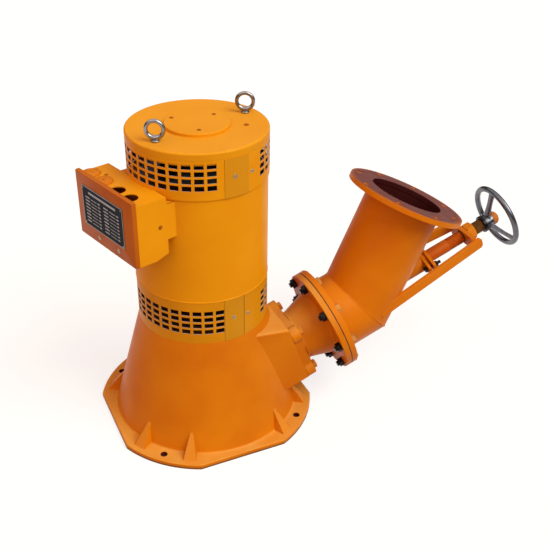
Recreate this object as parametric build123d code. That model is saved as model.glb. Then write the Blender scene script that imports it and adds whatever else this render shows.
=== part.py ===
from build123d import *
import os
from math import atan, atan2, cos, degrees, pi, radians, sin, sqrt, tan

os.makedirs("parts", exist_ok=True)

# Inclined-jet water turbine with a vertical generator, all sizes in millimetres.
# Origin: middle of the base underside, on the generator axis. +Z is up, +X points along
# the nozzle toward the inlet pipe.

# Base casting: square flange with round corners, cone-shaped hood and nozzle duct
base_square = 560.0
base_corner_margin = 24.9
base_thickness = 14.0
base_edge_radius = 3.0
base_hole_diameter = 18.0
base_hole_radius = 280.5
base_hole_count = 4
hood_wall = 10.0
hood_foot_radius = 258.8
hood_foot_blend = 8.0
hood_deck_thickness = 14.0
rib_angle = 15.0
rib_foot_width = 34.0
rib_top_width = 8.0
rib_height = 58.0
rib_reach = 31.0
rib_root = 6.0
duct_half_width = 90.0
duct_depth = 85.0
duct_end = 241.0
duct_wall = 10.0
duct_edge_radius = 7.0
duct_top_height = 307.2
duct_top_slope = 5.9

# Generator: vent bands, stator frame and top cap
body_radius = 176.0
band_step = 2.9
band_wall = 2.5
frame_wall = 8.0
hood_top = 319.8
lower_band_height = 125.6
frame_height = 288.4
upper_band_height = 101.2
cap_height = 19.7
cap_edge_radius = 5.0
cap_skirt_height = 12.0
cover_diameter = 165.0
cover_thickness = 8.0
cover_edge_radius = 2.5
vent_width_angle = 7.3
vent_pitch_angle = 9.7
vent_row_pitch = 18.6
vent_row_count = 4
vent_height = 13.2
vent_plain_angle = 39.5
upper_plain_centre = -75.0
lower_plain_centre = -71.0
upper_vent_drop = 42.0
lower_vent_drop = 62.4
lap_thickness = 1.2
upper_lap_start = -90.2
upper_lap_angle = 21.6
lower_lap_start = -91.9
lower_lap_angle = 18.4

# Generator inside: core, windings, shaft and fan
core_bore_radius = 96.0
core_end_gap = 36.0
winding_radius = 150.0
winding_bore_radius = 104.0
rotor_radius = 88.0
shaft_radius = 22.0
shaft_seal_gap = 0.4
bracket_thickness = 12.0
bracket_boss_radius = 62.0
bracket_boss_height = 34.0
fan_radius = 128.0
fan_hub_radius = 40.0
fan_height = 30.0
fan_blade_count = 10
fan_blade_thickness = 3.0
fan_cap_gap = 17.0

# Lifting eyes on the cap
eye_ring_radius = 18.7
eye_wire_radius = 4.8
eye_collar_radius = 11.0
eye_collar_height = 7.0
eye_neck_radius = 6.0
eye_circle_radius = 142.0
eye_right_angle = 11.0
eye_left_angle = 206.0
eye_face_angle = 62.0

# Terminal box on the side of the generator
box_azimuth = 196.3
box_front = 265.0
box_back = 164.0
box_half_width = 124.5
box_offset = -24.4
box_top = 760.0
box_bottom = 587.0
box_slope_depth = 35.0
box_slope_height = 11.0
box_sheet = 3.0
box_cover_depth = 12.0
box_cover_rise = 9.0
neck_top = 729.0
neck_bottom = 636.0
neck_inset = 20.0
gland_hole_diameter = 46.0
gland_hole_pitch = 62.0
gland_hole_count = 4
gland_hole_setback = 26.0
plug_count = 2
plug_rise = 6.0
plug_lap = 4.0
plate_width = 180.0
plate_height = 107.0
plate_thickness = 1.2
plate_offset = -6.5
plate_lift = 4.0

# Nozzle axis: height over the generator axis, sideways offset and rise toward the inlet
jet_height = 99.2
jet_offset = 71.0
jet_angle = 20.6

# Nozzle body between the duct and the pipe flange
mount_flange_half = 80.0
mount_flange_thickness = 27.0
mount_lobe_radius = 24.0
mount_lobe_offset = 68.0
mount_lobe_blend = 6.0
taper_start_radius = 74.0
taper_end_radius = 97.0
nozzle_wall = 9.0
gasket_place = 361.9
gasket_thickness = 2.5
pipe_flange_radius = 170.0
pipe_flange_thickness = 14.8
tip_place = 130.0
tip_bore_radius = 26.0
tip_outer_radius = 36.0

# Inlet elbow: pipe, mitred 45 degree branch and inlet flange
pipe_radius = 109.5
pipe_wall = 5.0
flange_bore_radius = 103.5
elbow_place = 477.1
branch_angle = 45.0
branch_length = 341.7
inlet_flange_thickness = 20.0
bolt_circle_radius = 147.5
bolt_count = 8
bolt_radius = 8.0
bolt_hole_gap = 1.0
bolt_head_across = 24.0
bolt_head_height = 10.0
nut_height = 13.0
bolt_tail_length = 6.0

# Stuffing box, gland and yoke
sleeve_radius = 32.0
sleeve_end = 716.0
gland_plate_place = 724.0
gland_plate_thickness = 11.0
gland_lobe_radius = 14.0
gland_centre_radius = 32.0
stud_offset = 44.0
stud_radius = 5.0
stud_length = 62.0
stud_nut_across = 16.0
stud_nut_height = 8.0
yoke_bar_width = 32.0
yoke_bar_thickness = 12.0
yoke_end_chamfer = 6.0
yoke_root_place = 500.0
yoke_root_offset = 100.0
yoke_end_place = 912.0
yoke_end_offset = 56.0
bridge_place = 854.0
bridge_thickness = 14.0
bridge_height = 48.0
yoke_nut_across = 46.0
yoke_nut_length = 25.0

# Spindle, handwheel and spear
spindle_radius = 17.0
spindle_fit = 0.1
thread_fit = 0.1
swivel_cover = 86.0
collar_radius = 26.0
collar_length = 13.0
wheel_stop_gap = 7.0
hub_foot_radius = 25.0
hub_top_radius = 21.0
hub_length = 27.0
wheel_place = 981.8
rim_radius = 91.5
rim_wire_radius = 8.5
spoke_count = 3
spoke_root_width = 36.0
spoke_root_thickness = 17.0
spoke_waist_width = 22.0
spoke_waist_thickness = 10.0
spoke_tip_width = 27.0
spoke_tip_thickness = 12.0
spoke_phase = 92.0
wheel_nut_radius = 20.0
wheel_nut_length = 30.0
square_half = 9.0
spear_rod_radius = 14.0
spear_head_radius = 34.0
spear_head_place = 205.0
spear_head_length = 60.0
spear_tip_place = 104.0
spear_point_radius = 1.5
travel_in = 20.0
travel_out = 30.0

# Runner under the hood
runner_radius = 104.0
runner_hub_radius = 46.0
cup_hollow = 12.0
runner_height = 44.0
runner_level = 96.0
runner_cup_count = 18
cup_wall = 4.0

rise = radians(jet_angle)
axis_origin = Vector(0, -jet_offset, jet_height)
axis_along = Vector(cos(rise), 0, sin(rise))
nozzle_frame = Plane(origin=axis_origin, x_dir=(0, 1, 0), z_dir=axis_along).location
band_radius = body_radius + band_step
band_bottom = hood_top
frame_bottom = band_bottom + lower_band_height
frame_top = frame_bottom + frame_height
cap_bottom = frame_top + upper_band_height
cap_top = cap_bottom + cap_height
box_face = box_front - box_cover_depth
yoke_nut_place = bridge_place + bridge_thickness
collar_place = yoke_nut_place + yoke_nut_length + travel_in + wheel_stop_gap
hub_place = collar_place + collar_length
swivel_place = sleeve_end - travel_out - swivel_cover


def drum(radius, height, start=0.0):
    """Solid cylinder on the local Z axis, from start upward."""
    return Pos(0, 0, start) * Cylinder(radius, height, align=(Align.CENTER, Align.CENTER, Align.MIN))


def tube(outer, inner, height, start=0.0):
    """Hollow cylinder on the local Z axis."""
    return drum(outer, height, start) - drum(inner, height, start)


def cone(foot, top, height, start=0.0):
    """Solid frustum on the local Z axis."""
    return Pos(0, 0, start) * Cone(foot, top, height, align=(Align.CENTER, Align.CENTER, Align.MIN))


def hexagon(across, height, start=0.0):
    """Hexagonal prism, across flats."""
    outline = RegularPolygon(across / 2, 6, major_radius=False)
    return Pos(0, 0, start) * extrude(outline, amount=height)


def hood_radius(z):
    """Outer radius of the hood at a height."""
    fall = (hood_foot_radius - body_radius) / (hood_top - base_thickness)
    return hood_foot_radius - fall * (z - base_thickness)


def base_rib():
    """One rib: wide at the foot, narrow where it runs out on the hood."""
    top = base_thickness + rib_height
    inner_foot = hood_radius(base_thickness) - rib_root
    inner_top = hood_radius(top) - rib_root
    foot_depth = rib_reach + rib_root
    foot = Pos(inner_foot + foot_depth / 2, 0, base_thickness) * Rectangle(foot_depth, rib_foot_width)
    head = Pos(inner_top + rib_root / 2, 0, top) * Rectangle(rib_root, rib_top_width)
    return loft([foot, head], ruled=True)


def duct_profile(inset):
    """Side outline of the nozzle duct, shrunk inward by the wall."""
    slope = tan(radians(duct_top_slope))
    lift = Vector(-sin(rise), 0, cos(rise))
    start_low = axis_origin - lift * (duct_depth - inset)
    end_middle = axis_origin + axis_along * (duct_end - inset)
    end_low = end_middle - lift * (duct_depth - inset)
    top_start = duct_top_height - inset
    reach = (top_start - slope * end_middle.X - end_middle.Z) / (lift.Z + slope * lift.X)
    end_high = end_middle + lift * reach
    return [(start_low.X, start_low.Z), (end_low.X, end_low.Z), (end_high.X, end_high.Z), (0, top_start)]


def duct_block(inset):
    """Solid nozzle duct between its two side walls."""
    outline = make_face(Polyline(duct_profile(inset), close=True))
    half = duct_half_width - inset
    block = extrude(Plane.XZ * outline, amount=half, both=True)
    return Pos(0, -jet_offset, 0) * block


def duct_outside():
    """Outside of the duct, its four long cast edges rounded."""
    block = duct_block(0)
    faces = block.faces().sort_by(Axis.Z)
    edges = faces[0].edges() + faces[-1].edges()
    return fillet(edges.filter_by(Axis.Y, reverse=True), duct_edge_radius)


def base_plate():
    """Square flange with round corners and a rounded top edge."""
    corner = Circle(base_hole_radius + base_corner_margin)
    plate = extrude(corner & Rectangle(base_square, base_square), amount=base_thickness)
    return fillet(plate.edges().group_by(Axis.Z)[-1], base_edge_radius)


def hood_outside():
    """Base flange and cone with a cast blend where they meet."""
    shell_height = hood_top - base_thickness
    body = base_plate() + cone(hood_foot_radius, body_radius, shell_height, base_thickness)
    foot = body.edges().filter_by(GeomType.CIRCLE).sort_by(SortBy.LENGTH)[-1]
    return fillet(foot, hood_foot_blend)


def base_casting():
    inner_foot = hood_radius(0) - hood_wall
    inner_top_level = hood_top - hood_deck_thickness
    inner_top = hood_radius(inner_top_level) - hood_wall
    inner = cone(inner_foot, inner_top, inner_top_level)
    body = hood_outside() + duct_outside()
    for side in range(4):
        for turn in (-rib_angle, rib_angle):
            body += Rot(0, 0, 45 + 90 * side + turn) * base_rib()
    inlet_opening = nozzle_frame * drum(taper_start_radius - nozzle_wall, duct_wall * 2, duct_end - duct_wall * 1.5)
    body -= inner + duct_block(duct_wall)
    body -= inlet_opening
    body -= drum(bracket_boss_radius + 1, hood_deck_thickness * 2, inner_top_level - 1)
    holes = PolarLocations(base_hole_radius, base_hole_count, 45)
    body -= holes * drum(base_hole_diameter / 2, base_thickness * 2, -1)
    return body


def lap_plate(radius, bottom, height, start, angle):
    """Outer end of the sheet, which laps over the band and is screwed down."""
    depth = lap_thickness + band_wall / 2
    section = Plane.XZ * Pos(radius + lap_thickness - depth / 2, bottom + height / 2) * Rectangle(depth, height)
    return Rot(0, 0, start) * revolve(section, Axis.Z, angle)


def vent_band(radius, bottom, height, middle, plain_centre):
    """Thin perforated band with one plain stretch where its ends are screwed."""
    band = tube(radius, radius - band_wall, height, bottom)
    open_angle = 360 - vent_plain_angle
    columns = int(open_angle / vent_pitch_angle)
    chord = 2 * radius * sin(radians(vent_width_angle / 2))
    slot = Box(band_wall * 6, chord, vent_height)
    first = plain_centre + vent_plain_angle / 2 + vent_pitch_angle / 2
    cutters = []
    for column in range(columns):
        azimuth = first + vent_pitch_angle * column
        for row in range(vent_row_count):
            level = middle + (row - (vent_row_count - 1) / 2) * vent_row_pitch
            cutters.append(Rot(0, 0, azimuth) * Pos(radius - band_wall / 2, 0, level) * slot)
    return band - cutters


def upper_vent_band():
    band = vent_band(band_radius, frame_top, upper_band_height, cap_bottom - upper_vent_drop, upper_plain_centre)
    return band + lap_plate(band_radius, frame_top, upper_band_height, upper_lap_start, upper_lap_angle)


def lower_vent_band():
    band = vent_band(body_radius, band_bottom, lower_band_height, frame_bottom - lower_vent_drop, lower_plain_centre)
    return band + lap_plate(body_radius, band_bottom, lower_band_height, lower_lap_start, lower_lap_angle)


def lower_bracket():
    """Lower bearing bracket: a disc in the hood register with a bearing boss."""
    disc = drum(body_radius - band_wall, bracket_thickness, hood_top)
    boss = drum(bracket_boss_radius, bracket_boss_height + hood_deck_thickness, hood_top - hood_deck_thickness)
    bore = drum(shaft_radius + shaft_seal_gap, bracket_boss_height * 3, hood_top - bracket_boss_height)
    return disc + boss - bore


def stator_frame():
    return tube(body_radius, body_radius - frame_wall, frame_height, frame_bottom)


def stator_core():
    length = frame_height - 2 * core_end_gap
    return tube(body_radius - frame_wall, core_bore_radius, length, frame_bottom + core_end_gap)


def stator_windings():
    low = tube(winding_radius, winding_bore_radius, core_end_gap, frame_bottom)
    high = tube(winding_radius, winding_bore_radius, core_end_gap, frame_top - core_end_gap)
    return Compound([low, high])


def rotor():
    length = frame_height - 2 * core_end_gap
    core = drum(rotor_radius, length, frame_bottom + core_end_gap)
    return core - drum(shaft_radius, length, frame_bottom + core_end_gap)


def shaft():
    low = runner_level - runner_height / 2
    return drum(shaft_radius, cap_bottom - low, low)


def cooling_fan():
    fan_level = cap_bottom - fan_cap_gap - fan_height
    hub = tube(fan_hub_radius, shaft_radius, fan_height, fan_level)
    span = fan_radius - fan_hub_radius + fan_blade_thickness
    blade = Pos(fan_hub_radius + span / 2 - fan_blade_thickness, 0, fan_level + fan_height / 2) * Rot(35, 0, 0) * Box(
        span, fan_blade_thickness, fan_height)
    for turn in range(fan_blade_count):
        hub += Rot(0, 0, turn * 360 / fan_blade_count) * blade
    return hub


def top_cap():
    disc = drum(band_radius, cap_height, cap_bottom)
    disc = fillet(disc.edges().group_by(Axis.Z)[-1], cap_edge_radius)
    skirt_radius = band_radius - band_wall
    skirt = tube(skirt_radius, skirt_radius - frame_wall, cap_skirt_height, cap_bottom - cap_skirt_height)
    return disc + skirt - drum(shaft_radius + shaft_seal_gap, cap_height / 2, cap_bottom)


def bearing_cover():
    disc = drum(cover_diameter / 2, cover_thickness, cap_top)
    return fillet(disc.edges().group_by(Axis.Z)[-1], cover_edge_radius)


def eyebolt(turn):
    ring_height = cap_top + eye_collar_height + eye_ring_radius + eye_wire_radius / 2
    eye = Pos(0, 0, ring_height) * Rot(0, 90, 0) * Torus(eye_ring_radius, eye_wire_radius)
    eye += drum(eye_collar_radius, eye_collar_height, cap_top)
    eye += drum(eye_neck_radius, eye_wire_radius * 2, cap_top)
    return Rot(0, 0, turn) * Pos(eye_circle_radius, 0, 0) * Rot(0, 0, eye_face_angle - turn) * eye


def box_place(shape):
    """Local X points outward from the generator, local Y sideways."""
    return Rot(0, 0, box_azimuth) * Pos(0, box_offset, 0) * shape


def slab(x_low, x_high, y_low, y_high, z_low, z_high):
    """Box between two corners."""
    size = (x_high - x_low, y_high - y_low, z_high - z_low)
    return Pos((x_low + x_high) / 2, (y_low + y_high) / 2, (z_low + z_high) / 2) * Box(*size)


def box_profile():
    """Side outline of the box, sloped at its lower rear corner."""
    points = [(box_back, box_bottom + box_slope_height), (box_back + box_slope_depth, box_bottom),
              (box_face, box_bottom), (box_face, box_top), (box_back, box_top)]
    return make_face(Polyline(points, close=True))


def gland_hole_place(hole):
    """Where a round entry hole stands on the box top."""
    side = (hole - (gland_hole_count - 1) / 2) * gland_hole_pitch
    return Pos(box_face - gland_hole_setback, side, 0)


def terminal_box():
    half = box_half_width
    profile = box_profile()
    shell = extrude(Plane.XZ * profile, amount=half, both=True)
    shell -= extrude(Plane.XZ * offset(profile, -box_sheet), amount=half - box_sheet, both=True)
    shell -= slab(box_face - 2 * box_sheet, box_face + box_sheet, box_sheet - half, half - box_sheet,
                  box_bottom + box_sheet, box_top - box_sheet)
    neck = slab(body_radius / 2, box_back, neck_inset - half, half, neck_bottom, neck_top)
    neck -= slab(body_radius / 4, box_back, neck_inset - half + box_sheet, half - box_sheet,
                 neck_bottom + box_sheet, neck_top - box_sheet)
    shell += neck
    for hole in range(gland_hole_count):
        shell -= gland_hole_place(hole) * drum(gland_hole_diameter / 2, box_sheet * 3, box_top - box_sheet * 2)
    shell = box_place(shell)
    shell -= drum(band_radius, upper_band_height, frame_top)
    return shell - drum(body_radius, frame_height, frame_bottom)


def terminal_cover():
    half = box_half_width
    top = box_top + box_cover_rise
    lid = slab(box_face, box_front, -half, half, box_bottom, top)
    hollow = slab(box_face - box_sheet, box_front - box_sheet, box_sheet - half, half - box_sheet,
                  box_bottom + box_sheet, top - box_sheet)
    return box_place(lid - hollow)


def cable_plugs():
    plugs = []
    for hole in range(plug_count):
        plug = drum(gland_hole_diameter / 2 + plug_lap, plug_rise, box_top)
        plug += drum(gland_hole_diameter / 2, box_sheet, box_top - box_sheet)
        plugs.append(box_place(gland_hole_place(hole) * plug))
    return Compound(plugs)


def rating_plate():
    middle = (box_top + box_bottom) / 2 + plate_lift
    return box_place(slab(box_front, box_front + plate_thickness, plate_offset - plate_width / 2,
                          plate_offset + plate_width / 2, middle - plate_height / 2, middle + plate_height / 2))


def mount_flange_outline():
    """Square flange whose corners swell into round bolt lobes."""
    outline = Rectangle(2 * mount_flange_half, 2 * mount_flange_half)
    for across in (-mount_lobe_offset, mount_lobe_offset):
        for up in (-mount_lobe_offset, mount_lobe_offset):
            outline += Pos(across, up) * Circle(mount_lobe_radius)
    return fillet(outline.vertices(), mount_lobe_blend)


def pipe_flange(bottom, thickness):
    """Round pipe flange with its ring of bolt holes, in the nozzle frame."""
    plate = tube(pipe_flange_radius, flange_bore_radius, thickness, bottom)
    holes = PolarLocations(bolt_circle_radius, bolt_count)
    return plate - holes * drum(bolt_radius + bolt_hole_gap, thickness, bottom)


def nozzle_body():
    """Cast body: square mounting flange, tapered throat and round pipe flange."""
    flange_end = duct_end + mount_flange_thickness
    taper_end = gasket_place - pipe_flange_thickness
    length = taper_end - flange_end
    body = Pos(0, 0, duct_end) * extrude(mount_flange_outline(), amount=mount_flange_thickness)
    body += cone(taper_start_radius, taper_end_radius, length, flange_end)
    body += drum(pipe_flange_radius, pipe_flange_thickness, taper_end)
    body -= drum(taper_start_radius - nozzle_wall, mount_flange_thickness, duct_end)
    body -= cone(taper_start_radius - nozzle_wall, taper_end_radius - nozzle_wall, length, flange_end)
    body -= drum(taper_end_radius - nozzle_wall, pipe_flange_thickness, taper_end)
    holes = PolarLocations(bolt_circle_radius, bolt_count)
    body -= holes * drum(bolt_radius + bolt_hole_gap, pipe_flange_thickness, taper_end)
    return nozzle_frame * body


def nozzle_tip():
    """Jet nozzle inside the duct, from the flange face to its round mouth."""
    length = duct_end - tip_place
    outer = cone(tip_outer_radius, taper_start_radius - nozzle_wall, length, tip_place)
    inner_start = taper_start_radius - 2 * nozzle_wall
    inner = cone(tip_bore_radius, inner_start, length, tip_place)
    return nozzle_frame * (outer - inner)


def flange_gasket():
    ring = pipe_flange(gasket_place, gasket_thickness)
    return nozzle_frame * ring


def elbow_start():
    return gasket_place + gasket_thickness


def branch_frame():
    """Frame at the mitre, its Z axis up the branch pipe."""
    return Pos(0, 0, elbow_place) * Rot(-branch_angle, 0, 0)


def elbow_cores(radius):
    """Main pipe and branch as solid rods cut on the mitre plane."""
    reach = radius * 2
    main = drum(radius, elbow_place - elbow_start() + reach, elbow_start())
    side = branch_frame() * drum(radius, branch_length + reach, -reach)
    half = Pos(0, 0, elbow_place) * Rot(-branch_angle / 2, 0, 0)
    size = branch_length * 4
    below = half * Pos(0, 0, -size / 2) * Box(size, size, size)
    above = half * Pos(0, 0, size / 2) * Box(size, size, size)
    top = branch_frame() * (Pos(0, 0, branch_length + size / 2) * Box(size, size, size))
    return (main & below) + ((side & above) - top)


def elbow_pipe():
    """Welded elbow between the two flanges, open right through."""
    shell = elbow_cores(pipe_radius) - elbow_cores(pipe_radius - pipe_wall)
    shell -= branch_frame() * drum(pipe_flange_radius * 2, branch_length, branch_length - inlet_flange_thickness)
    shell -= drum(pipe_flange_radius * 2, pipe_flange_thickness, elbow_start())
    shell -= drum(sleeve_radius, branch_length, elbow_place)
    return nozzle_frame * shell


def elbow_flange():
    ring = pipe_flange(elbow_start(), pipe_flange_thickness)
    return nozzle_frame * ring


def inlet_flange():
    ring = pipe_flange(branch_length - inlet_flange_thickness, inlet_flange_thickness)
    return nozzle_frame * branch_frame() * ring


def flange_bolt():
    """Bolt with its head on the elbow side and its nut on the nozzle side."""
    low = gasket_place - pipe_flange_thickness
    high = elbow_start() + pipe_flange_thickness
    shank = drum(bolt_radius, high - low + nut_height + bolt_tail_length, low - nut_height - bolt_tail_length)
    head = hexagon(bolt_head_across, bolt_head_height, high)
    nut = hexagon(bolt_head_across, nut_height, low - nut_height)
    return shank + head + nut


def flange_bolts():
    bolt = flange_bolt()
    return nozzle_frame * Compound([place * bolt for place in PolarLocations(bolt_circle_radius, bolt_count)])


def stuffing_box():
    """Sleeve welded into the elbow wall, bored for the spindle."""
    sleeve = tube(sleeve_radius, spindle_radius + spindle_fit, sleeve_end - elbow_place, elbow_place)
    inside = elbow_cores(pipe_radius - pipe_wall)
    ears = gland_outline(gland_plate_thickness)
    bore = drum(spindle_radius + spindle_fit, gland_plate_thickness, sleeve_end - gland_plate_thickness)
    sleeve += Pos(0, 0, sleeve_end - gland_plate_thickness) * ears - bore
    return nozzle_frame * (sleeve - inside)


def gland_outline(thickness):
    """Oval two-bolt flange."""
    outline = Circle(gland_centre_radius)
    for side in (-1, 1):
        outline += Pos(side * stud_offset, 0) * Circle(gland_lobe_radius)
    outline = make_hull(outline.edges())
    plate = extrude(outline, amount=thickness)
    for side in (-1, 1):
        plate -= Pos(side * stud_offset, 0, 0) * drum(stud_radius, thickness)
    return plate


def gland_plate():
    follower = Pos(0, 0, gland_plate_place) * gland_outline(gland_plate_thickness)
    follower += drum(spindle_radius * 1.5, gland_plate_place - sleeve_end, sleeve_end)
    follower -= drum(spindle_radius + spindle_fit, gland_plate_thickness * 3, sleeve_end)
    return nozzle_frame * follower


def gland_studs():
    studs = []
    start = sleeve_end - gland_plate_thickness
    nut_place = gland_plate_place + gland_plate_thickness
    for side in (-1, 1):
        stud = drum(stud_radius, stud_length, start)
        stud += hexagon(stud_nut_across, stud_nut_height, nut_place)
        studs.append(Pos(side * stud_offset, 0, 0) * stud)
    return nozzle_frame * Compound(studs)


def yoke_arm(side):
    """Flat bar from the elbow wall to the bridge, closing in toward the wheel."""
    root = Vector(side * yoke_root_offset, 0, yoke_root_place)
    end = Vector(side * yoke_end_offset, 0, yoke_end_place)
    path = end - root
    plane = Plane(origin=root, x_dir=(0, 1, 0), z_dir=path.normalized())
    bar = extrude(Rectangle(yoke_bar_width, yoke_bar_thickness), amount=path.length)
    corners = bar.faces().sort_by(Axis.Z)[-1].edges().filter_by(Axis.Y)
    bar = plane.location * chamfer(corners, yoke_end_chamfer)
    return nozzle_frame * (bar - elbow_cores(pipe_radius))


def bar_spread(place):
    """Sideways place of the bar's middle along the axis."""
    share = (place - yoke_root_place) / (yoke_end_place - yoke_root_place)
    return yoke_root_offset + share * (yoke_end_offset - yoke_root_offset)


def yoke_bridge():
    """Cross plate between the bars, bored for the yoke nut."""
    low = bar_spread(bridge_place) - yoke_bar_thickness
    plate = Pos(0, 0, bridge_place + bridge_thickness / 2) * Box(4 * low, bridge_height, bridge_thickness)
    plate -= drum(spindle_radius + thread_fit, bridge_thickness, bridge_place)
    plate = nozzle_frame * plate
    plate -= bridge_trim(1)
    plate -= bridge_trim(-1)
    return plate


def bridge_trim(side):
    """Everything from a bar's inner face outward."""
    root = Vector(side * yoke_root_offset, 0, yoke_root_place)
    end = Vector(side * yoke_end_offset, 0, yoke_end_place)
    path = end - root
    plane = Plane(origin=root, x_dir=(0, 1, 0), z_dir=path.normalized())
    wide = yoke_root_offset * 2
    outward = side if plane.y_dir.X > 0 else -side
    block = Pos(0, outward * (wide / 2 - yoke_bar_thickness / 2)) * Rectangle(bridge_height * 2, wide)
    return nozzle_frame * plane.location * extrude(block, amount=path.length)


def yoke_nut():
    nut = hexagon(yoke_nut_across, yoke_nut_length, yoke_nut_place)
    nut -= drum(spindle_radius + thread_fit, yoke_nut_length, yoke_nut_place)
    return nozzle_frame * nut


def spindle():
    """Rod through the gland and the yoke nut, then the seat of the wheel."""
    rod = drum(spindle_radius, collar_place - swivel_place, swivel_place)
    rod += drum(square_half, collar_length + hub_length + wheel_nut_length / 2, collar_place)
    return nozzle_frame * rod


def wheel_collar():
    return nozzle_frame * tube(collar_radius, square_half, collar_length, collar_place)


def spoke_section(reach, level, width, thickness):
    """Flat oval section across a spoke, at a reach from the wheel's axis."""
    plane = Plane(origin=(reach, 0, level), x_dir=(0, 1, 0), z_dir=(1, 0, 0))
    return plane * Ellipse(width / 2, thickness / 2)


def spoke():
    """Flat spoke, wide at the hub and dished out to the rim."""
    hub_middle = hub_place + hub_length / 2
    start = hub_top_radius / 2
    middle = (start + rim_radius) / 2
    root = spoke_section(start, hub_middle, spoke_root_width, spoke_root_thickness)
    waist = spoke_section(middle, (hub_middle + wheel_place) / 2, spoke_waist_width, spoke_waist_thickness)
    tip = spoke_section(rim_radius, wheel_place, spoke_tip_width, spoke_tip_thickness)
    return loft([root, waist, tip])


def handwheel():
    """Dished wheel: hub, round-section rim and flat tapered spokes."""
    hub = cone(hub_foot_radius, hub_top_radius, hub_length, hub_place)
    wheel = hub + Pos(0, 0, wheel_place) * Torus(rim_radius, rim_wire_radius)
    for turn in range(spoke_count):
        wheel += Rot(0, 0, spoke_phase + turn * 360 / spoke_count) * spoke()
    above_hub = drum(wheel_nut_radius, wheel_place, hub_place + hub_length)
    wheel -= drum(square_half, hub_length, hub_place) + above_hub
    return nozzle_frame * wheel


def wheel_nut():
    start = hub_place + hub_length
    nut = drum(wheel_nut_radius, wheel_nut_length, start)
    nut = fillet(nut.edges().group_by(Axis.Z)[-1], wheel_nut_radius * 0.6)
    nut -= drum(square_half, wheel_nut_length / 2, start)
    return nozzle_frame * nut


def spear():
    """Needle on its rod, moved along the nozzle by the spindle."""
    rod = drum(spear_rod_radius, swivel_place - spear_head_place, spear_head_place)
    tip_length = spear_head_place - spear_tip_place
    head = cone(spear_point_radius, spear_head_radius, tip_length, spear_tip_place)
    head += cone(spear_head_radius, spear_rod_radius, spear_head_length, spear_head_place)
    return nozzle_frame * (rod + head)


def runner():
    """Runner: hub and a ring of curved cups that the jet strikes from above."""
    low = runner_level - runner_height / 2
    hub = tube(runner_hub_radius, shaft_radius, runner_height, low)
    half = runner_height / 2
    front = ThreePointArc((0, -half), (cup_hollow, 0), (0, half))
    back = ThreePointArc((0, half), (cup_hollow + cup_wall, 0), (0, -half))
    section = Plane.YZ * make_face([front, back])
    root = sqrt(runner_hub_radius ** 2 - cup_hollow ** 2) - cup_wall
    cup = Pos(root, 0, runner_level) * extrude(section, amount=runner_radius - root)
    for turn in range(runner_cup_count):
        hub += Rot(0, 0, turn * 360 / runner_cup_count) * cup
    return hub


def runner_nut():
    low = runner_level - runner_height / 2
    return hexagon(runner_hub_radius * 1.2, runner_height * 0.4, low - runner_height * 0.4)


nodes = {
    "base_casting": base_casting(),
    "lower_bracket": lower_bracket(),
    "lower_vent_band": lower_vent_band(),
    "stator_frame": stator_frame(),
    "stator_core": stator_core(),
    "stator_windings": stator_windings(),
    "rotor": rotor(),
    "shaft": shaft(),
    "cooling_fan": cooling_fan(),
    "upper_vent_band": upper_vent_band(),
    "top_cap": top_cap(),
    "bearing_cover": bearing_cover(),
    "eyebolt_right": eyebolt(eye_right_angle),
    "eyebolt_left": eyebolt(eye_left_angle),
    "terminal_box": terminal_box(),
    "terminal_cover": terminal_cover(),
    "cable_plugs": cable_plugs(),
    "rating_plate": rating_plate(),
    "nozzle_body": nozzle_body(),
    "nozzle_tip": nozzle_tip(),
    "flange_gasket": flange_gasket(),
    "flange_bolts": flange_bolts(),
    "elbow_flange": elbow_flange(),
    "elbow_pipe": elbow_pipe(),
    "inlet_flange": inlet_flange(),
    "stuffing_box": stuffing_box(),
    "gland_plate": gland_plate(),
    "gland_studs": gland_studs(),
    "yoke_arm_near": yoke_arm(-1),
    "yoke_arm_far": yoke_arm(1),
    "yoke_bridge": yoke_bridge(),
    "yoke_nut": yoke_nut(),
    "spindle": spindle(),
    "wheel_collar": wheel_collar(),
    "handwheel": handwheel(),
    "wheel_nut": wheel_nut(),
    "spear": spear(),
    "runner": runner(),
    "runner_nut": runner_nut(),
}
for name, shape in nodes.items():
    export_step(shape, f"parts/{name}.step")
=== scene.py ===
import bpy
from math import acos, cos, pi, radians, sin, sqrt, tan
from mathutils import Matrix, Quaternion, Vector
from mathutils.geometry import tessellate_polygon


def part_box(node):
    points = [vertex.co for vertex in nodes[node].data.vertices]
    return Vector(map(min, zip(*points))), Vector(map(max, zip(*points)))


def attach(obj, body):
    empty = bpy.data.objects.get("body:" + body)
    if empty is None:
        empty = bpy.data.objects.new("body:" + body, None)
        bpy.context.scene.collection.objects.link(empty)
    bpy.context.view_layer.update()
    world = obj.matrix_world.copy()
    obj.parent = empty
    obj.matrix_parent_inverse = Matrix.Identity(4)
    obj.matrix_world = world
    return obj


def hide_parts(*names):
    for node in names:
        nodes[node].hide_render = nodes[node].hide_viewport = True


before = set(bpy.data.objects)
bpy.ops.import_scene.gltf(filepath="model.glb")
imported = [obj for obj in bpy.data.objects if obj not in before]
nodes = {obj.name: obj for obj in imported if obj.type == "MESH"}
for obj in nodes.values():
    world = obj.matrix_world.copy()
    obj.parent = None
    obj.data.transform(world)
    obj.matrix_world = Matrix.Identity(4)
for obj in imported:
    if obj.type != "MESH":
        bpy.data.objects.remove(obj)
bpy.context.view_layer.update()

# Studio: a plain pale floor, a broad soft key lamp at the front right and a warm fill lamp on the left.
# Camera and chrome see floor and room as white, and dark walls that only the chrome sees give it its
# contrast. The studio and the values in materials are in metres, the pieces are drawn in millimetres.
mm = 0.001
floor_half = 14.0
floor_level = -0.2 * mm
floor_seen = (0.30, 0.30, 0.30, 1)
floor_glow = 0.74
# Painted shadow: the floor's colour under the foot, where the base hides it.
floor_shadow_dark = (0.050, 0.012, 0.006, 1)
foot_half = 0.215
floor_bounce = (0.34, 0.26, 0.20, 1)
room_light = (0.50, 0.305, 0.22, 1)
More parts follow.
